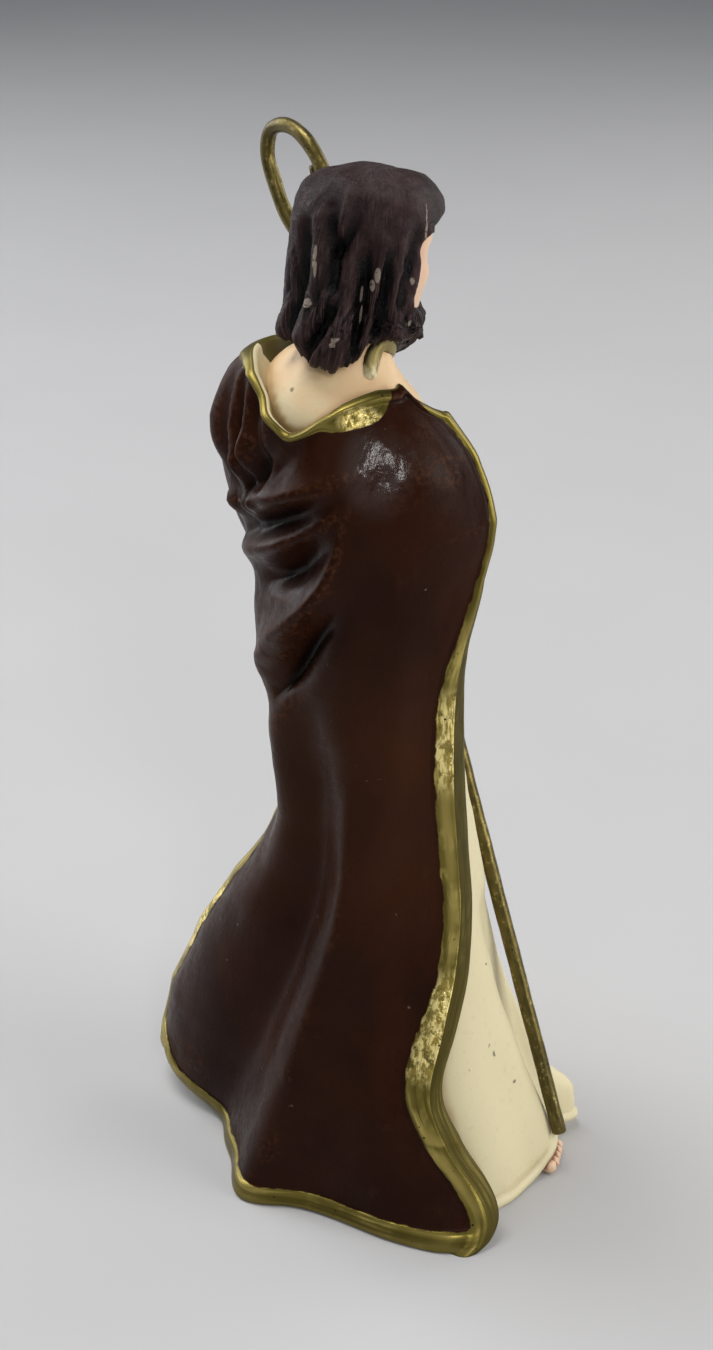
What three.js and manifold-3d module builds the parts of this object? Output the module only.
// A cast resin figurine of a bearded saint in a long tunic and a trailing mantle with a raised gold hem.
// He stands on the flat underside of the casting and grips a bent-wire crook in his left hand.
// Two pieces: the figure, cast in one, and the wire crook that is pushed through its fist.
// Millimetres, +Z up, the figure faces -Y. Angles run round the body's axis: 0 is its left (+X),
// 90 its back (+Y), 180 its right and 270 its front.
import * as THREE from "three";
import { ParametricGeometry } from "three/addons/geometries/ParametricGeometry.js";
import { mergeVertices } from "three/addons/utils/BufferGeometryUtils.js";
import Module from "manifold-3d";

const HEAD_CENTRE = [0.2, -1.5, 118.4]; // the skull's middle above the table
const HEAD_TURN = 4; // degrees towards its left
const HEAD_NOD = 8; // degrees forward
const WIRE_DIAMETER = 1.9;
const WIRE_CLEARANCE = 0.3; // all round, between the wire and the casting
const RIM_FACE = 2.4; // the gold hem's face at the foot of the cloth
const RIM_PROUD = 0.4; // how far the hem stands out of the cloth
const SIDE_SLOPE = 0.12; // how the hem's side falls away past the right front edge
const SIDE_ROUNDING = 0.8; // how far its end is rounded over
const GRIP_HEIGHT = 88.2; // of the left fist on the crook

const DEGREE = Math.PI / 180;
const UP = new THREE.Vector3(0, 0, 1);
const PASSES = 6; // to settle a place whose angle and height depend on each other

const wasm = await Module();
wasm.setup();

// Smooth curve through knots [x, y, ...], read at x for one of the columns after the first.
function curveAt(knots, x, column = 1) {
  const last = knots.length - 1;
  const t = THREE.MathUtils.clamp(x, knots[0][0], knots[last][0]);
  let i = 0;
  while (i < last - 1 && t > knots[i + 1][0]) i++;
  const slope = (k) => {
    const a = knots[Math.max(k - 1, 0)];
    const b = knots[Math.min(k + 1, last)];
    return (b[column] - a[column]) / (b[0] - a[0]);
  };
  const [p, q] = [knots[i], knots[i + 1]];
  const span = q[0] - p[0];
  const s = (t - p[0]) / span;
  const rise = q[column] - p[column];
  const bend = span * (slope(i) * (1 - s) - slope(i + 1) * s) - rise * (1 - 2 * s);
  return p[column] + rise * s + bend * s * (1 - s);
}

// A plan section at height z: an oval about (x, y) with its own reach to each of four sides.
function sectionAt(sections, z) {
  const [x, y, right, left, front, back] = [1, 2, 3, 4, 5, 6].map((c) => curveAt(sections, z, c));
  return { x, y, right, left, front, back };
}

function ovalRadius(section, angle) {
  const across = Math.cos(angle * DEGREE);
  const along = Math.sin(angle * DEGREE);
  const a = across < 0 ? section.right : section.left;
  const b = along < 0 ? section.front : section.back;
  return 1 / Math.hypot(across / a, along / b);
}

// Height that folds add to a surface of radius r. A fold's crest runs through points
// [angle, z, height]; a negative height is a valley. Its width is the half-width of the swell.
function foldHeight(folds, angle, z, r) {
  const perDegree = r * DEGREE;
  let sum = 0;
  for (const { width, crest } of folds) {
    let nearest = Infinity;
    let height = 0;
    for (let i = 0; i + 1 < crest.length; i++) {
      const [a, b] = [crest[i], crest[i + 1]];
      const du = (b[0] - a[0]) * perDegree;
      const dz = b[1] - a[1];
      const pu = (angle - a[0]) * perDegree;
      const pz = z - a[1];
      const s = THREE.MathUtils.clamp((pu * du + pz * dz) / (du * du + dz * dz), 0, 1);
      const distance = Math.hypot(pu - s * du, pz - s * dz);
      if (distance < nearest) {
        nearest = distance;
        height = a[2] + (b[2] - a[2]) * s;
      }
    }
    sum += height * Math.exp(-((nearest / width) ** 2));
  }
  return sum;
}

function pointOn(sections, folds, angle, z, rise = 0) {
  const section = sectionAt(sections, z);
  const oval = ovalRadius(section, angle);
  const r = oval + foldHeight(folds, angle, z, oval) + rise;
  return new THREE.Vector3(
    section.x + r * Math.cos(angle * DEGREE),
    section.y + r * Math.sin(angle * DEGREE),
    z,
  );
}

// A closed skin over rings of equal length, from the lowest to the highest, each counter-clockwise
// from above, and shut by a fan to a point at either end.
function skin(rings, lowPoint, highPoint) {
  const around = rings[0].length;
  const rows = [null, ...rings, null];
  const place = (u, v, target) => {
    const row = Math.round(u * (rows.length - 1));
    if (row === 0) return target.copy(lowPoint);
    if (row === rows.length - 1) return target.copy(highPoint);
    return target.copy(rows[row][Math.round((1 - v) * around) % around]);
  };
  return new ParametricGeometry(place, rows.length - 1, around);
}

// A geometry as a solid: shared corners are merged and triangles that merging shut are dropped.
function solid(geometry) {
  const bare = new THREE.BufferGeometry()
    .setAttribute("position", geometry.getAttribute("position").clone())
    .setIndex(geometry.getIndex());
  const merged = mergeVertices(bare, 1e-4);
  const corners = merged.getIndex() ? merged.getIndex().array : [];
  const kept = [];
  for (let i = 0; i < corners.length; i += 3) {
    const [a, b, c] = [corners[i], corners[i + 1], corners[i + 2]];
    if (a !== b && b !== c && c !== a) kept.push(a, b, c);
  }
  return new wasm.Manifold(
    new wasm.Mesh({
      numProp: 3,
      vertProperties: new Float32Array(merged.getAttribute("position").array),
      triVerts: new Uint32Array(kept),
    }),
  );
}

function geometryOf(made) {
  const mesh = made.getMesh();
  const positions = new Float32Array(mesh.numVert * 3);
  for (let i = 0; i < mesh.numVert; i++) {
    positions.set(mesh.vertProperties.subarray(i * mesh.numProp, i * mesh.numProp + 3), i * 3);
  }
  return new THREE.BufferGeometry()
    .setAttribute("position", new THREE.BufferAttribute(positions, 3))
    .setIndex(new THREE.BufferAttribute(new Uint32Array(mesh.triVerts), 1));
}

const spread = (from, to, count) =>
  Array.from({ length: count }, (_, i) => from + ((to - from) * i) / (count - 1));

// Angles of the corners of a ring.
const circle = (sides) => spread(0, 360, sides + 1).slice(0, sides);

// A round limb through points [x, y, z, radius], with domed ends.
function limb(points, sides = 10, steps = 3) {
  const centres = new THREE.CatmullRomCurve3(points.map((p) => new THREE.Vector3(p[0], p[1], p[2])));
  const last = points.length - 1;
  const radii = points.map((p, i) => [i / last, p[3]]);
  const rings = [];
  const tangentAt = (t) => centres.getTangent(THREE.MathUtils.clamp(t, 0, 1));
  const side = new THREE.Vector3().crossVectors(
    Math.abs(tangentAt(0.5).z) > 0.8 ? new THREE.Vector3(0, 1, 0) : UP,
    tangentAt(0.5),
  );
  const addRing = (t, along, share) => {
    const tangent = tangentAt(t);
    const across = side.clone().addScaledVector(tangent, -side.dot(tangent)).normalize();
    const upward = new THREE.Vector3().crossVectors(tangent, across);
    const radius = curveAt(radii, t);
    const centre = centres.getPoint(t).addScaledVector(tangent, along * radius);
    rings.push(
      circle(sides).map((a) =>
        centre
          .clone()
          .addScaledVector(across, share * radius * Math.cos(a * DEGREE))
          .addScaledVector(upward, share * radius * Math.sin(a * DEGREE)),
      ),
    );
  };
  addRing(0, -0.55, 0.8);
  for (const t of spread(0, 1, steps * last + 1)) addRing(t, 0, 1);
  addRing(1, 0.55, 0.8);
  const start = points[0][3];
  const end = points[last][3];
  return skin(
    rings,
    centres.getPoint(0).addScaledVector(tangentAt(0), -0.9 * start),
    centres.getPoint(1).addScaledVector(tangentAt(1), 0.9 * end),
  );
}

// The tunic: a full-length robe, close at the waist, spreading over the feet to a rolled hem.
// Columns: z, centre x and y, then the reach to its right, left, front and back.
const TUNIC_SECTIONS = [
  [0, -3, -3, 24, 22, 17.5, 15],
  [4, -2.9, -2.9, 23.4, 21.6, 17.1, 14.8],
  [12, -2.5, -2.4, 21.2, 19.6, 15.6, 13.5],
  [30, -1.7, -1, 16.8, 16, 12.8, 9],
  [48, -1.6, -0.4, 13.4, 12.6, 10.6, 7.4],
  [66, -1, 0, 12.2, 11.8, 9.4, 7.4],
  [80, -0.6, 0, 12.6, 12.2, 9, 8],
  [92, 0, 0, 13.4, 13.6, 8.9, 9.4],
  [99, 0, 0.4, 10.8, 13.4, 8, 10.1],
  [101.5, 0, 0.6, 9.3, 13.2, 7.5, 10.2],
  [104, 0, 0.8, 6.7, 11.8, 5.9, 9],
  [106, 0, 0.8, 5.1, 9.6, 4.8, 7.4],
  [108, 0, 0.5, 4.3, 6.4, 4.2, 5.8],
  [112, 0, 0, 4.2, 4.6, 4.4, 4.8],
];
const TUNIC_FOLDS = [
  { name: "over the right foot", width: 4.2, crest: [[212, 0, 3.2], [211, 10, 2.4], [208, 26, 0.8]] },
  {
    name: "lobe in front of it",
    width: 3.6,
    crest: [[231, 0, 5], [231, 10, 3.8], [233, 26, 2], [238, 46, 0.8]],
  },
  { name: "cap of the lobe", width: 2.4, crest: [[234, 1, 1.2], [234, 6, 2.6]] },
  { name: "groove beside the lobe", width: 2.4, crest: [[221, 0, -1.4], [221, 14, -2.2], [224, 34, -1.2]] },
  { name: "right thigh", width: 8, crest: [[225, 34, 1], [232, 52, 1.6]] },
  { name: "middle front fold", width: 3.2, crest: [[262, 0, 2.2], [264, 24, 1.8], [268, 56, 0.9]] },
  {
    name: "groove right of the middle",
    width: 2.8,
    crest: [[248, 0, -1.6], [250, 24, -1.8], [256, 50, -0.8]],
  },
  {
    name: "over the left foot",
    width: 4.4,
    crest: [[290, 0, 3.4], [289, 14, 2.4], [284, 40, 1.2], [280, 62, 0.6]],
  },
  {
    name: "groove left of the middle",
    width: 2.6,
    crest: [[276, 0, -1.5], [277, 26, -1.8], [276, 50, -0.8]],
  },
  { name: "left groove", width: 2.8, crest: [[306, 0, -1.8], [304, 24, -1.8], [296, 56, -0.8]] },
  { name: "left front fold", width: 3.6, crest: [[322, 0, 2], [318, 24, 1.8], [308, 60, 1]] },
  { name: "left side groove", width: 2.8, crest: [[338, 0, -1.2], [334, 26, -1.4], [326, 60, -0.6]] },
  { name: "left side fold", width: 3.6, crest: [[352, 0, 1.6], [348, 30, 1.2]] },
];
const TUNIC_SOLE = [
  [0, -3, -3, 18, 17, 13, 12],
  [1, -3, -3, 18, 17, 13, 12],
];
const TUNIC_HEM_LIFT = [
  [0, 0], [196, 0], [213, 3.6], [224, 1.6], [240, 0.6], [262, 0], [288, 3.2], [306, 0.4], [360, 0],
];

// The back of the tunic is under the mantle, so its facets are coarse there.
function tunic() {
  const angles = [...spread(-34, 176, 12), ...spread(190, 316, 24)];
  const shares = [0, 0.03, 0.1, 0.19, 0.29, 0.4, 0.52, 0.64, 0.76, 0.85, 0.9, 0.935, 1];
  const top = TUNIC_SECTIONS[TUNIC_SECTIONS.length - 1][0];
  const rings = shares.map((share) =>
    angles.map((angle) => {
      const lift = curveAt(TUNIC_HEM_LIFT, angle);
      const turned = angle < 0 ? angle + 360 : angle;
      return pointOn(TUNIC_SECTIONS, TUNIC_FOLDS, turned, lift + (top - lift) * share);
    }),
  );
  const sole = angles.map((angle) => pointOn(TUNIC_SOLE, [], angle, 0));
  return skin([sole, ...rings], new THREE.Vector3(-3, -3, 0), new THREE.Vector3(0, 0, top));
}

// The mantle: heavy cloth over both shoulders and arms, gathered at the left elbow and spreading
// behind to two corners. It is solid to the axis, and both its front edges stand clear of the tunic.
const MANTLE_SECTIONS = [
  [0, -2, -1, 23, 24, 18, 20],
  [14, -2.2, -1, 19.8, 19.5, 16, 16.8],
  [30, -2.4, -1, 15.6, 14.4, 13.5, 13.5],
  [44, -2.5, -1, 12.9, 11.6, 12, 11.4],
  [54, -2.2, -0.8, 12.5, 11, 11.6, 11.2],
  [66, -1.3, -0.5, 13.1, 12, 11.8, 12],
  [80, -1, 0, 13.9, 12.8, 12, 12.3],
  [90, -0.4, 0, 14.2, 14.6, 12, 12.5],
  [96, 0, 0, 13.4, 15.6, 11, 12.4],
  [100, 0, 0, 11.2, 15, 9.4, 11.8],
  [104, 0, 0, 8.4, 13, 8, 11],
  [107.5, 0, 0, 5.6, 9.4, 6, 10],
];
const MANTLE_FOLDS = [
  { name: "right elbow", width: 8, crest: [[200, 94.5, 2.6], [208, 89, 3.3], [208, 82, 1.7]] },
  { name: "left upper arm", width: 6.5, crest: [[32, 103, 3], [30, 95, 4.2], [22, 88, 2.6]] },
  { name: "left forearm", width: 6, crest: [[4, 87, 3.2], [-24, 88, 4.2]] },
  {
    name: "right corner",
    width: 9,
    crest: [[190, 34, 0.2], [180, 22, 0.8], [172, 12, 3.6], [171, 0, 7.6]],
  },
  {
    name: "left corner",
    width: 9.5,
    crest: [[26, 48, 0.3], [26, 40, 3], [26, 34, 6.4], [26, 25, 9.4], [26, 14, 11.2], [26, 6, 10.4]],
  },
  {
    name: "right edge turned out",
    width: 4.6,
    crest: [[212, 84, 0.8], [201, 72, 1.8], [197, 58, 2.1], [194, 44, 2], [188, 34, 2], [174, 24, 1.4]],
  },
  {
    name: "long back ridge",
    width: 4.6,
    crest: [
      [133, 60, 0.5], [130, 48, 1.5], [127, 40, 2], [119, 30, 2.2], [112, 22, 2.4], [106, 9, 3],
      [101, 0, 3.8],
    ],
  },
  {
    name: "long back valley",
    width: 4.6,
    crest: [
      [107, 68, -0.6], [106, 56, -2.2], [105, 43, -2.8], [90, 30, -2.6], [70, 15, -2.4], [56, 0, -2.8],
    ],
  },
  {
    name: "left back ridge",
    width: 3.6,
    crest: [[74, 66, 0.8], [71, 55, 1.4], [68, 45, 1], [60, 37, 0.4]],
  },
  {
    name: "hip ridge",
    width: 2.4,
    crest: [
      [60, 66.6, 0.1], [70, 69.6, 0.7], [80, 72, 1.5], [93, 74.8, 2.1], [106, 77.4, 2.2],
      [118, 80.4, 2], [127, 83.4, 1.6], [133, 86.4, 1.1], [138, 91, 0.4],
    ],
  },
  {
    name: "slit below the hip ridge",
    width: 2.1,
    crest: [
      [64, 63, -0.5], [76, 65.8, -1.4], [88, 68.4, -1.9], [101, 71.2, -2.1], [113, 74, -1.9],
      [126, 77.4, -1], [138, 81, -0.2],
    ],
  },
  {
    name: "groove above the hip ridge",
    width: 2.3,
    crest: [
      [62, 79, -0.9], [76, 80.8, -1.6], [92, 82.4, -1.9], [107, 83.9, -1.8], [120, 86.2, -1.2],
      [131, 89, -0.4],
    ],
  },
  {
    name: "waist ridge",
    width: 1.7,
    crest: [
      [56, 83, 1.1], [72, 84, 1.6], [86, 85.2, 1.7], [101, 86.9, 1.6], [114, 88.6, 1.2],
      [126, 90.6, 0.8], [137, 92.6, 0.2],
    ],
  },
  {
    name: "waist groove",
    width: 1.5,
    crest: [
      [60, 86.4, -0.8], [76, 87.2, -1.3], [90, 88.4, -1.5], [104, 89.7, -1.4], [117, 91.1, -1],
      [133, 93, -0.3],
    ],
  },
  {
    name: "rib ridge",
    width: 1.8,
    crest: [
      [58, 88.8, 1.1], [76, 90.2, 1.4], [95, 92, 1.4], [111, 93.4, 1.2], [127, 94.8, 0.7],
      [142, 96.4, 0.2],
    ],
  },
  {
    name: "rib groove",
    width: 1.8,
    crest: [[60, 90.5, -1], [78, 93.2, -1.4], [96, 96, -1.1], [108, 98, -0.5]],
  },
  {
    name: "arm seam ridge",
    width: 1.7,
    crest: [[50, 87, 1], [64, 92.5, 1.3], [80, 98, 1.2], [90, 101.5, 0.8]],
  },
  { name: "fall of the left arm", width: 3, crest: [[48, 92, -0.8], [50, 87, -0.8]] },
  { name: "left flank", width: 4, crest: [[56, 79, 0.8], [56, 73, 0.8], [58, 66, 0.4]] },
  { name: "below the right elbow", width: 6, crest: [[196, 70, -0.6], [190, 60, -0.6]] },
];
// The cloth's two front edges: height, angle.
const MANTLE_RIGHT_EDGE = [
  [0, 167.5], [1.2, 171], [3.5, 173.5], [7, 172], [12, 166.5], [18, 163.5], [26, 170.5], [34, 180],
  [42, 185.3], [56, 186.5], [70, 191], [78, 198], [85, 206.5], [92, 210], [98, 209], [101, 207],
];
const MANTLE_LEFT_EDGE = [
  [6.5, 33], [7.6, 29], [10, 26], [14, 25], [26, 26.5], [38, 25], [46, 19], [60, 2], [72, -14],
  [82, -26], [92, -34], [100, -36], [104, -34],
];
// Its neckline and its hem: angle, height.
const NECKLINE = [
  [-36, 99.5], [-20, 103], [0, 105.6], [20, 106.8], [40, 106.6], [56, 106], [68, 104.9], [78, 103.4],
  [90, 101.6], [102, 99.9], [112, 100.5], [124, 102.2], [138, 103.7], [160, 104.6], [178, 104.6],
  [184, 104.9], [190, 103.4], [212, 100.6],
];
const MANTLE_HEM_LIFT = [[26, 6.8], [36, 5.2], [46, 2], [58, 0.3], [72, 0], [171, 0]];

// Width of the gold hem's side, at right angles to its face, on the right and on the left: height, width.
const RIGHT_SIDE = [
  [0, 1.8], [3, 2.4], [12, 2.7], [16, 2.3], [20, 2.2], [24, 2.6], [30, 3.2], [42, 3], [58, 3.1],
  [66, 2.8], [74, 1.7], [82, 1], [94, 0.8], [102, 0.6],
];
const LEFT_SIDE = [[6, 1.6], [12, 2.4], [90, 2.4], [102, 1]];
// Width of the gold border on the cloth: by height at the two front edges, by angle at the neckline.
const RIGHT_FACE = [
  [0, 1.3], [5, 1.5], [12, 1.9], [22, 2.3], [32, 1.4], [62, 1.5], [72, 1], [80, 0.6], [96, 0.5],
  [103, 1],
];
const LEFT_FACE = [[6, 1.7], [100, 1.4]];
const NECK_FACE = [
  [-36, 1.4], [24, 1.3], [50, 0.9], [70, 0.7], [84, 0.7], [98, 0.8], [110, 0.9], [212, 0.9],
];

// Grid lines across the cloth or up it: share of the way, then the share of a border's width that is
// added at the near end and taken off at the far end. The first and the last four lie on a border.
const BORDER_LINES = [0, 0.17, 0.83, 1];
const bordered = (shares) => [
  ...BORDER_LINES.map((part) => [0, part, 0]),
  ...shares.map((share) => [share, 1 - share, share]),
  ...[...BORDER_LINES].reverse().map((part) => [1, 0, part]),
];

// How far a border stands out on a grid line, leaning out towards its free edge.
function hemRise([share, near, far], nearBorder, farBorder) {
  const rise = (part, { width, lean, rounding }) =>
    RIM_PROUD + lean * width * (1 - part) - (part === 0 ? rounding : 0);
  if (share === 0 && near < 1) return rise(near, nearBorder);
  if (share === 1 && far < 1) return rise(far, farBorder);
  return 0;
}

// A place on the mantle's outer face, by its two grid lines.
function mantlePlace(column, row) {
  let z = row[0] * 100;
  let angle = 0;
  let neck = 0;
  for (let pass = 0; pass < PASSES; pass++) {
    const left = curveAt(MANTLE_LEFT_EDGE, z);
    const right = curveAt(MANTLE_RIGHT_EDGE, z);
    const r = ovalRadius(sectionAt(MANTLE_SECTIONS, z), angle);
    const added = curveAt(LEFT_FACE, z) * column[1] - curveAt(RIGHT_FACE, z) * column[2];
    angle = left + (right - left) * column[0] + added / (r * DEGREE);
    neck = curveAt(NECK_FACE, angle);
    const low = curveAt(MANTLE_HEM_LIFT, angle);
    z = low + (curveAt(NECKLINE, angle) - low) * row[0] + RIM_FACE * row[1] - neck * row[2];
  }
  const across = hemRise(
    column,
    { width: curveAt(LEFT_FACE, z), lean: 0.35, rounding: 0.3 },
    { width: curveAt(RIGHT_FACE, z), lean: 0.5, rounding: 0 },
  );
  const upward = hemRise(
    row,
    { width: RIM_FACE, lean: 0, rounding: 0.3 },
    { width: neck, lean: 0.1, rounding: 0.3 },
  );
  const rise = Math.max(across, upward);
  return { angle, z, point: pointOn(MANTLE_SECTIONS, MANTLE_FOLDS, angle, z, rise) };
}

// A point past a free edge by so much, and deeper by so much.
function pastEdge(edge, run, depth) {
  const section = sectionAt(MANTLE_SECTIONS, edge.z);
  const r = Math.hypot(edge.point.x - section.x, edge.point.y - section.y);
  const angle = edge.angle + run / (r * DEGREE);
  return new THREE.Vector3(
    section.x + (r - depth) * Math.cos(angle * DEGREE),
    section.y + (r - depth) * Math.sin(angle * DEGREE),
    edge.z,
  );
}

// A point inside the tunic, turned back from a free edge: the cloth is hollowed to there.
function hemRoot(edge, turn) {
  const section = sectionAt(TUNIC_SECTIONS, edge.z);
  const angle = edge.angle + turn;
  const r = 0.9 * ovalRadius(section, angle);
  return new THREE.Vector3(
    section.x + r * Math.cos(angle * DEGREE),
    section.y + r * Math.sin(angle * DEGREE),
    edge.z,
  );
}

// The mantle's side at its right front edge, rounded over to a wall, then its root in the tunic.
function rightFlank(edge) {
  const side = curveAt(RIGHT_SIDE, edge.z);
  const end = Math.min(SIDE_ROUNDING, side * 0.6);
  return [
    pastEdge(edge, side - end, SIDE_SLOPE * (side - end)),
    pastEdge(edge, side - end * 0.3, SIDE_SLOPE * side + end * 0.3),
    pastEdge(edge, side, SIDE_SLOPE * side + end + 0.7),
    hemRoot(edge, -4),
  ];
}

// Steps of the neckline's rolled lip: how far in from the neckline, and up.
const LIP_STEPS = [[0.45, 0.1], [1, -1.1]];

function mantle() {
  const columns = bordered(spread(0, 1, 30).slice(1, -1));
  const upward = [0.025, ...spread(0.06, 0.3, 7), ...spread(0.36, 0.54, 4), ...spread(0.577, 0.975, 16)];
  const rings = bordered(upward).map((row) => {
    const outer = columns.map((column) => mantlePlace(column, row));
    const left = outer[0];
    const right = outer[outer.length - 1];
    return [
      hemRoot(left, 14),
      pastEdge(left, -0.6, 0.4 + curveAt(LEFT_SIDE, left.z)),
      ...outer.map((place) => place.point),
      ...rightFlank(right),
    ];
  });
  // The side points end where the lip does, and the roots stay inside the tunic.
  const top = rings[rings.length - 1];
  const lips = LIP_STEPS.map(([inward, up]) =>
    top.map((root, i) => {
      const onLip = top[THREE.MathUtils.clamp(i, 2, columns.length + 1)];
      const { x, y, z } = i === 0 || i === top.length - 1 ? root : onLip;
      const share = 1 - inward / Math.hypot(x, y);
      return new THREE.Vector3(x * share, y * share, z + up);
    }),
  );
  return skin([...rings, ...lips], new THREE.Vector3(-1, 5, 0), new THREE.Vector3(-1, 3, 96));
}

// The head, in its own frame: the skull's middle is the origin and the face looks along -Y.
const HEAD_SECTIONS = [
  [-11, 0, -2.6, 1.4, 1.4, 2, 2],
  [-9.6, 0, -2, 3.1, 3.1, 4.5, 4],
  [-7.6, 0, -1.3, 4.5, 4.5, 6, 4.6],
  [-5.4, 0, -0.8, 5.4, 5.4, 6.6, 5],
  [-2.5, 0, -0.3, 6.2, 6.2, 7.1, 5.4],
  [0, 0, 0, 6.5, 6.5, 7.2, 5.8],
  [3, 0, 0, 6.6, 6.6, 7.4, 6.2],
  [6, 0, 0, 5.6, 5.6, 6.4, 5.8],
  [8.2, 0, 0, 3.6, 3.6, 4, 3.8],
  [9, 0, 0, 1.4, 1.4, 1.6, 1.6],
];
const mirrored = (folds) => [
  ...folds,
  ...folds.map(({ width, crest }) => ({
    width,
    crest: crest.map(([angle, z, height]) => [540 - angle, z, height]),
  })),
];
const FACE_FOLDS = [
  { name: "nose", width: 0.95, crest: [[270, 1.5, 0.35], [270, -1, 1.1], [270, -2.9, 1.9]] },
  { name: "nose tip", width: 0.8, crest: [[268.5, -3.1, 0.5], [271.5, -3.1, 0.5]] },
  { name: "lips", width: 0.55, crest: [[263, -5.5, 0.35], [277, -5.5, 0.35]] },
  ...mirrored([
    { name: "nostril wing", width: 0.6, crest: [[262, -3.4, 0.6], [264, -3.1, 0.5]] },
    { name: "brow", width: 0.9, crest: [[243, 2, 0.35], [254, 2.5, 0.7], [265, 1.9, 0.45]] },
    { name: "eye socket", width: 1.1, crest: [[249, 0.4, -0.8], [259, 0.4, -1]] },
    { name: "eyelid", width: 0.7, crest: [[250.5, 0.3, 0.6], [256.5, 0.3, 0.6]] },
    { name: "cheekbone", width: 1.7, crest: [[240, -1.9, 0.5], [248, -2.2, 0.5]] },
  ]),
];
const BEARD_SECTIONS = [
  [-11.8, 0, -4.7, 0.9, 0.9, 1.2, 1.2],
  [-10.9, 0, -4.3, 2.4, 2.4, 2.5, 2.5],
  [-9.4, 0, -3.4, 4, 4, 4.1, 3.4],
  [-7.4, 0, -2.2, 5.3, 5.3, 5.4, 3.8],
  [-5.4, 0, -1.2, 6, 6, 6.1, 3.8],
  [-3.8, 0, -0.6, 6, 6, 6, 3.8],
  [-2.8, 0, -0.4, 5.6, 5.6, 5.4, 3.8],
];
const BEARD_FOLDS = [
  { name: "parting of the beard", width: 0.9, crest: [[270, -11.4, -0.7], [270, -8.6, -0.3]] },
  { name: "mouth hollow", width: 1.1, crest: [[264, -6.2, -0.9], [276, -6.2, -0.9]] },
  ...mirrored([
    { name: "bare cheek", width: 2.4, crest: [[200, -3, -1.6], [222, -3.4, -1.6], [240, -3, -1.2]] },
    { name: "beard lock by the middle", width: 0.9, crest: [[262, -11, 0.6], [258, -8, 0.5]] },
    { name: "beard lock", width: 0.9, crest: [[246, -10.6, 0.6], [244, -8, 0.6], [240, -6, 0.3]] },
    { name: "groove between", width: 0.7, crest: [[254, -11, -0.5], [251, -8, -0.5]] },
    { name: "jaw lock", width: 0.9, crest: [[230, -10, 0.5], [226, -7, 0.5]] },
    { name: "jaw groove", width: 0.7, crest: [[238, -10.4, -0.5], [234, -6.6, -0.4]] },
    {
      name: "moustache",
      width: 0.8,
      crest: [[268, -4.9, 1.1], [260, -5.3, 1.2], [252, -6.6, 0.9], [248, -8, 0.5]],
    },
  ]),
];
const HAIR_SECTIONS = [
  [-15, 0, 2.2, 4.2, 4.2, 3, 4.6],
  [-13, 0, 1.4, 6.4, 6.4, 5, 6.6],
  [-9.5, 0, 0.6, 7.6, 7.6, 6.4, 7.9],
  [-5, 0, 0.3, 7.6, 7.6, 7.4, 7.7],
  [0, 0, 0.2, 7.5, 7.5, 7.8, 7.7],
  [4, 0, 0, 7.4, 7.4, 8.1, 7.8],
  [6.8, 0, 0, 6.7, 6.7, 7.9, 7.1],
  [8.8, 0, 0, 5, 4.8, 6.2, 5.1],
  [9.7, 0, 0, 2.2, 2, 3, 2.2],
];
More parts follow.
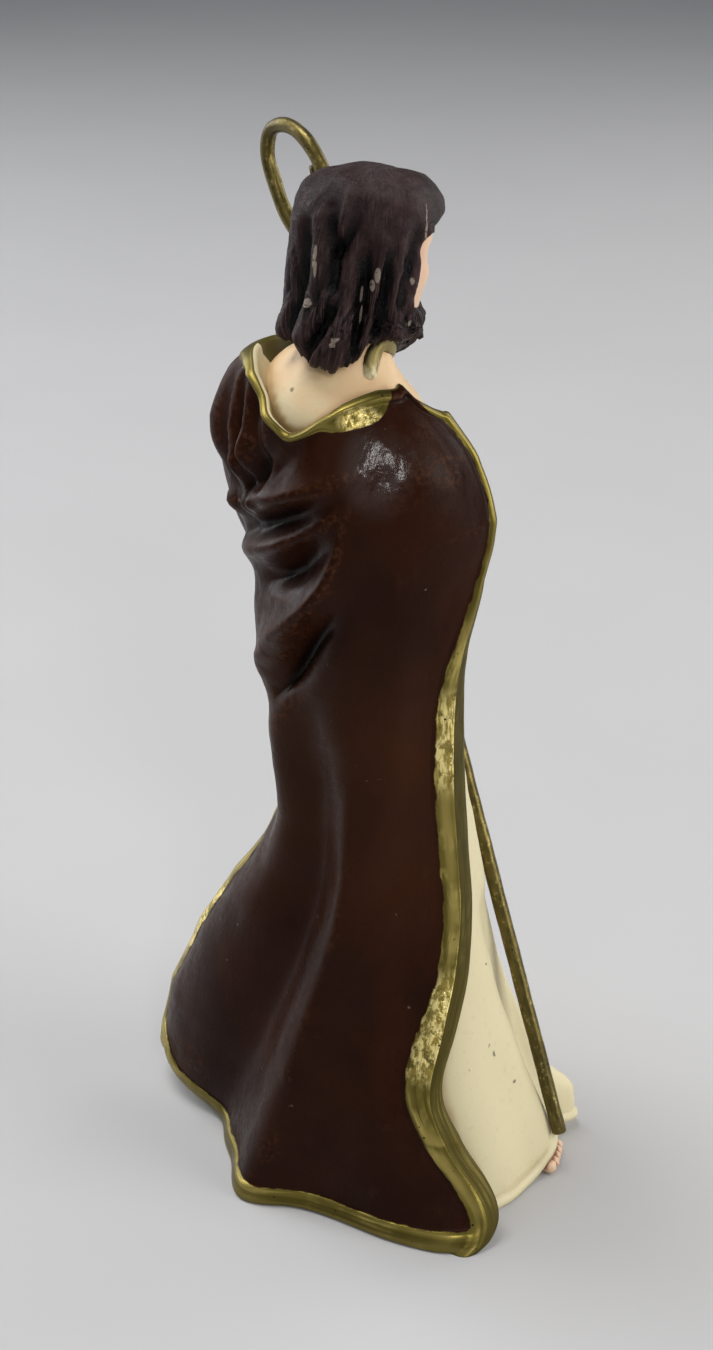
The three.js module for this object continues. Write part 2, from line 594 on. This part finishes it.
const HAIR_FOLDS = [
  { name: "full left back", width: 5, crest: [[62, 5, 1], [50, -2, 0.9]] },
  { name: "forelock right", width: 1.5, crest: [[262, 8, 0.5], [246, 5.8, 0.6], [232, 3.4, 0.4]] },
  { name: "forelock left", width: 1.5, crest: [[278, 8, 0.5], [296, 5.5, 1], [308, 2, 0.6]] },
  { name: "parting", width: 0.8, crest: [[270, 9, -0.6], [270, 6, -0.7]] },
  {
    name: "right front lock",
    width: 1.1,
    crest: [[206, 3.4, 0.2], [192, 0, 0.3], [184, -4, 0.6], [196, -7, 0.7], [208, -8.2, 0.8]],
  },
  { name: "hollow of the cheek", width: 0.9, crest: [[190, 3, -0.3], [182, 0, -0.6], [176, -4, -0.6]] },
  {
    name: "right side lock",
    width: 1.2,
    crest: [[172, 4, 0.3], [168, 0, 0.6], [168, -5, 0.7], [176, -8, 0.7]],
  },
  { name: "right back groove", width: 0.9, crest: [[160, 1, -0.4], [160, -3, -0.8], [160, -8, -0.9]] },
  {
    name: "deep back groove",
    width: 1,
    crest: [[138, 2, -0.4], [142, -2, -1], [143, -7, -1.1], [141, -11, -0.7]],
  },
  {
    name: "back lock",
    width: 1.3,
    crest: [[132, 1.5, 0.3], [131, -4, 0.7], [128, -9, 0.7], [124, -12.5, 0.8]],
  },
  {
    name: "sweep to the left, upper",
    width: 0.8,
    crest: [[113, -4, 0.4], [106, -6.8, 0.8], [96, -10, 0.8]],
  },
  {
    name: "sweep to the left, lower",
    width: 0.7,
    crest: [[124, -7, 0.3], [117, -9.5, 0.7], [108, -12, 0.8]],
  },
  {
    name: "middle lock",
    width: 1,
    crest: [[98, 4, 0.4], [101, 0, 0.7], [104, -2.4, 0.7], [98, -5.5, 0.7], [90, -9, 0.7]],
  },
  {
    name: "left back groove",
    width: 0.9,
    crest: [[86, 3, -0.4], [84, -3, -0.9], [80, -8, -1.1], [76, -11, -0.8]],
  },
  {
    name: "left back lock, flicked out",
    width: 1.3,
    crest: [[72, 3, 0.3], [73, -1, 0.3], [71, -5, 0.7], [66, -8.6, 1.1], [62, -10.4, 1.1]],
  },
  { name: "left side groove", width: 0.9, crest: [[46, 3, -0.5], [47, -4, -0.9], [46, -10, -1]] },
  { name: "left side lock", width: 1.2, crest: [[28, 4, 0.4], [29, -4, 0.7], [30, -10, 1]] },
  { name: "left groove", width: 0.9, crest: [[8, 3, -0.4], [9, -4, -0.8], [10, -10, -0.9]] },
  {
    name: "left front lock",
    width: 1.1,
    crest: [[-44, 4, 0.3], [-36, -1, 0.5], [-31, -6, 0.8], [-30, -8.4, 0.8]],
  },
  {
    name: "left hollow of the cheek",
    width: 1.2,
    crest: [[-26, 3, -0.3], [-18, -1, -0.7], [-10, -5, -0.7]],
  },
];
// The hair's edge beside the face, as height and angle, and its ragged lower ends.
const HAIR_RIGHT_EDGE = [
  [-15, 214], [-8.2, 213], [-7.2, 206], [-6, 192], [-3.6, 191], [-2.2, 196], [0, 198], [2.4, 200],
  [4, 218], [5.1, 240], [6.2, 258], [7, 270], [10, 270],
];
const HAIR_ENDS = [
  [-36, -8], [-28, -8.6], [-12, -8.2], [6, -8.8], [22, -9.4], [42, -9.2], [60, -10.4], [72, -10.4],
  [84, -11], [96, -11.9], [103, -12], [112, -12.6], [118, -12.2], [127, -12.8], [138, -11.8],
  [146, -11.4], [152, -9.6], [160, -9.2], [170, -8.6], [184, -8.8], [200, -8.2], [216, -8.6],
];

function headPart(geometry) {
  const pose = new THREE.Matrix4().makeRotationZ(HEAD_TURN * DEGREE);
  pose.multiply(new THREE.Matrix4().makeRotationX(HEAD_NOD * DEGREE));
  pose.setPosition(...HEAD_CENTRE);
  return geometry.applyMatrix4(pose);
}

function loft(sections, folds, angles, heights) {
  const rings = heights.map((z) => angles.map((angle) => pointOn(sections, folds, angle, z)));
  const end = (row) => {
    const { x, y } = sectionAt(sections, row);
    return new THREE.Vector3(x, y, row);
  };
  return skin(rings, end(heights[0]), end(heights[heights.length - 1]));
}

// The hair is a closed skin that is open to the middle of the head in front of the face.
const HAIR_CROWN = 9.7;
const HAIR_STEPS = [0, 0.07, 0.16, 0.26, 0.37, 0.49, 0.61, 0.72, 0.82, 0.91, 0.97, 1];

function hair() {
  const columns = spread(0, 1, 36);
  const rings = HAIR_STEPS.map((up) => {
    const outer = columns.map((across) => {
      let z = -9.5 + (HAIR_CROWN + 9.5) * up;
      let angle = 0;
      for (let pass = 0; pass < PASSES; pass++) {
        const right = curveAt(HAIR_RIGHT_EDGE, z);
        angle = 180 - right + (2 * right - 180) * across;
        const end = curveAt(HAIR_ENDS, angle);
        z = end + (HAIR_CROWN - end) * up;
      }
      return pointOn(HAIR_SECTIONS, HAIR_FOLDS, angle, z);
    });
    const middle = THREE.MathUtils.clamp(outer[0].z, -7, HAIR_CROWN - 0.7);
    return [...outer, new THREE.Vector3(0, -0.5 - 2.2 * Math.sin(Math.PI * up), middle)];
  });
  return skin(rings, new THREE.Vector3(0, 1, -7), new THREE.Vector3(0, 0, HAIR_CROWN + 0.1));
}

// The collar, a raised roll round the tunic's neck: angle, height, radius.
const COLLAR_LINE = [
  [171, 106, 0.4], [174, 106.9, 0.65], [178, 107.9, 0.85], [184, 108.6, 0.85], [196, 108.8, 0.75],
  [216, 108.2, 0.7], [240, 107.3, 0.7], [270, 106, 0.85], [300, 106.5, 0.9], [330, 107.4, 0.95],
  [352, 108.4, 0.9], [368, 108.6, 0.5],
];

function collar() {
  const points = COLLAR_LINE.map(([angle, z, radius]) => {
    const { x, y } = pointOn(TUNIC_SECTIONS, [], angle, z, 0.25);
    return [x, y, z, radius];
  });
  return limb(points, 6, 1);
}

// Sleeves, hands and feet.
function rightSleeve() {
  return limb([[-7.6, -4.4, 83.6, 4.2], [-7.4, -8.4, 84.2, 4.4], [-3.2, -10.8, 87.2, 4.5]], 12, 3);
}

function leftSleeve() {
  return limb([[13.5, -2, 89, 4.4], [14.6, -7.6, 87.4, 4.5], [13.8, -11.4, 88, 3.9]], 12, 3);
}

function rightHand() {
  const parts = [limb([[-3, -11.6, 87.6, 2.3], [-0.5, -11.2, 90, 2.1], [2, -10.3, 92.4, 2.3]], 8, 2)];
  const tips = [[3, -9.6, 98, 0.85], [4.9, -9.3, 97.6, 0.9], [6.5, -9.1, 96.4, 0.9], [7.6, -9, 94.6, 0.8]];
  tips.forEach((tip, i) => {
    parts.push(limb([[1.2 + 0.75 * i, -10.4, 93.4 - 0.75 * i, 1], tip], 6, 2));
  });
  parts.push(limb([[-1.5, -11, 90.5, 1.1], [-1.2, -10.6, 94.4, 0.9]], 6, 2));
  return parts;
}

// The crook: a straight wire shaft and a closed eye at its head.
const CROOK_EYE = [
  [23.4, -12.3, 112.2],
  [23.1, -12.25, 117],
  [24.5, -12.2, 121.6],
  [27.9, -12, 125],
  [32, -11.8, 126.3],
  [35.4, -11.6, 125.2],
  [36.4, -11.6, 122],
  [34.9, -11.7, 118.6],
  [32.6, -11.9, 115],
  [29.8, -12.4, 112.4],
  [27, -13, 112.6],
  [26.3, -13.5, 116],
  [27.9, -13.4, 121.8],
];
const CROOK_FOOT = [-24.4, -15.2, 5.2];

// Its centre line, as [length along it, x, y, z]: straight from the foot, then round the eye.
const WIRE_SHAFT_END = 0.96; // share of the way to the eye's first point
const WIRE_SIDES = 9;

function wireLine() {
  const [foot, neck] = [CROOK_FOOT, CROOK_EYE[0]].map((p) => new THREE.Vector3(...p));
  const eye = CROOK_EYE.map((p) => new THREE.Vector3(...p));
  const points = [foot, foot.clone().lerp(neck, WIRE_SHAFT_END), ...eye];
  let length = 0;
  return points.map((p, i) => {
    if (i > 0) length += p.distanceTo(points[i - 1]);
    return [length, p.x, p.y, p.z];
  });
}

function wire(radius, sides) {
  const line = wireLine();
  const placeAt = (t) => new THREE.Vector3(...[1, 2, 3].map((column) => curveAt(line, t, column)));
  const lengths = [0, ...spread(line[1][0], line[line.length - 1][0], 27)];
  const flat = new THREE.Vector3(0.06, 1, 0);
  const stations = lengths.map((t) => ({
    centre: placeAt(t),
    along: placeAt(t + 0.05).sub(placeAt(t - 0.05)).normalize(),
  }));
  const rings = stations.map(({ centre, along }) => {
    const across = flat.clone().addScaledVector(along, -flat.dot(along)).normalize();
    const other = new THREE.Vector3().crossVectors(along, across);
    return circle(sides).map((a) =>
      centre
        .clone()
        .addScaledVector(across, radius * Math.cos(a * DEGREE))
        .addScaledVector(other, radius * Math.sin(a * DEGREE)),
    );
  });
  const [first, last] = [stations[0], stations[stations.length - 1]];
  return skin(
    rings,
    first.centre.clone().addScaledVector(first.along, -radius * 0.45),
    last.centre.clone().addScaledVector(last.along, radius * 0.1),
  );
}

function leftHand() {
  const foot = new THREE.Vector3(...CROOK_FOOT);
  const neck = new THREE.Vector3(...CROOK_EYE[0]);
  const along = neck.clone().sub(foot).normalize();
  const grip = foot.clone().lerp(neck, (GRIP_HEIGHT - foot.z) / (neck.z - foot.z));
  const out = new THREE.Vector3(0.75, 0.66, 0);
  out.addScaledVector(along, -out.dot(along)).normalize();
  const side = new THREE.Vector3().crossVectors(along, out);
  const at = (s, o, a, r) => {
    const p = grip.clone().addScaledVector(side, s).addScaledVector(out, o).addScaledVector(along, a);
    return [p.x, p.y, p.z, r];
  };
  const parts = [limb([at(0.2, 5, -0.8, 2.4), at(0, 1.6, 0, 3)], 10, 2)];
  const bends = [[2, 1.8, 1], [2.5, -0.6, 1.05], [0.6, -2.5, 1.05], [-1.8, -1.6, 0.95]];
  for (const height of [-2.7, -0.9, 0.9, 2.6]) {
    const finger = bends.map(([sideways, outward, radius]) => at(sideways, outward, height, radius));
    parts.push(limb(finger, 6, 1));
  }
  parts.push(limb([at(-1.9, 2, 1.4, 1.2), at(-2.6, -0.2, 2.4, 1.1), at(-1.2, -2.3, 3.9, 1)], 6, 2));
  return parts;
}

function foot(heel, ball, spreadAngle) {
  const [hx, hy] = heel;
  const [bx, by] = ball;
  const heading = Math.atan2(by - hy, bx - hx);
  const parts = [limb([[hx, hy, 3, 3], [(hx + bx) / 2, (hy + by) / 2, 2.9, 3], [bx, by, 1.8, 2.2]], 8, 2)];
  const lengths = [2.4, 2.5, 2.2, 1.9, 1.5];
  lengths.forEach((length, i) => {
    const offset = (i - 2) * 1.15 * spreadAngle;
    const sx = bx - Math.sin(heading) * offset;
    const sy = by + Math.cos(heading) * offset;
    const radius = i === 0 ? 0.95 : 0.78;
    parts.push(
      limb(
        [
          [sx, sy, 1.1, radius],
          [sx + Math.cos(heading) * length, sy + Math.sin(heading) * length, 0.9, radius],
        ],
        5,
        1,
      ),
    );
  });
  return parts;
}

const faceAngles = [...spread(200, 226, 3), ...spread(236, 304, 19), ...spread(314, 525, 6)];
const faceHeights = [-10.6, -8, ...spread(-6, 3.4, 12), 5.5, 8.9];
const beardAngles = [...spread(200, 216, 2), ...spread(224, 316, 17), ...spread(326, 520, 4)];
const pieces = [
  mantle(),
  tunic(),
  collar(),
  headPart(loft(HEAD_SECTIONS, FACE_FOLDS, faceAngles, faceHeights)),
  headPart(loft(BEARD_SECTIONS, BEARD_FOLDS, beardAngles, spread(-11.8, -2.8, 9))),
  headPart(hair()),
  rightSleeve(),
  leftSleeve(),
  ...rightHand(),
  ...leftHand(),
  ...foot([-13, -9.5], [-22, -14.2], 1),
  ...foot([6, -9], [5.5, -19.6], -1),
];
let joined = solid(pieces[0]);
for (const piece of pieces.slice(1)) joined = joined.add(solid(piece));
const aboveTable = new THREE.BoxGeometry(120, 120, 200).translate(0, 0, 100);
const wireHole = wire(WIRE_DIAMETER / 2 + WIRE_CLEARANCE, WIRE_SIDES);
joined = joined.intersect(solid(aboveTable)).subtract(solid(wireHole));
// Overlapping shapes can shut in a speck of empty space, which a casting hasn't got, so the outer
// skin is kept.
const [casting] = joined.decompose().sort((p, q) => q.volume() - p.volume());

const paint = new THREE.MeshStandardMaterial({ color: 0x3a1d14, roughness: 0.45 });
const gilding = new THREE.MeshStandardMaterial({ color: 0xa08a3a, metalness: 0.8, roughness: 0.35 });
const figure = new THREE.Mesh(geometryOf(casting), paint);
figure.name = "figure";
const crook = new THREE.Mesh(geometryOf(solid(wire(WIRE_DIAMETER / 2, WIRE_SIDES))), gilding);
crook.name = "crook_staff";

const saint = new THREE.Group();
saint.add(figure, crook);
const box = new THREE.Box3().setFromObject(saint);
saint.position.set(-(box.min.x + box.max.x) / 2, -(box.min.y + box.max.y) / 2, -box.min.z);
export default saint;
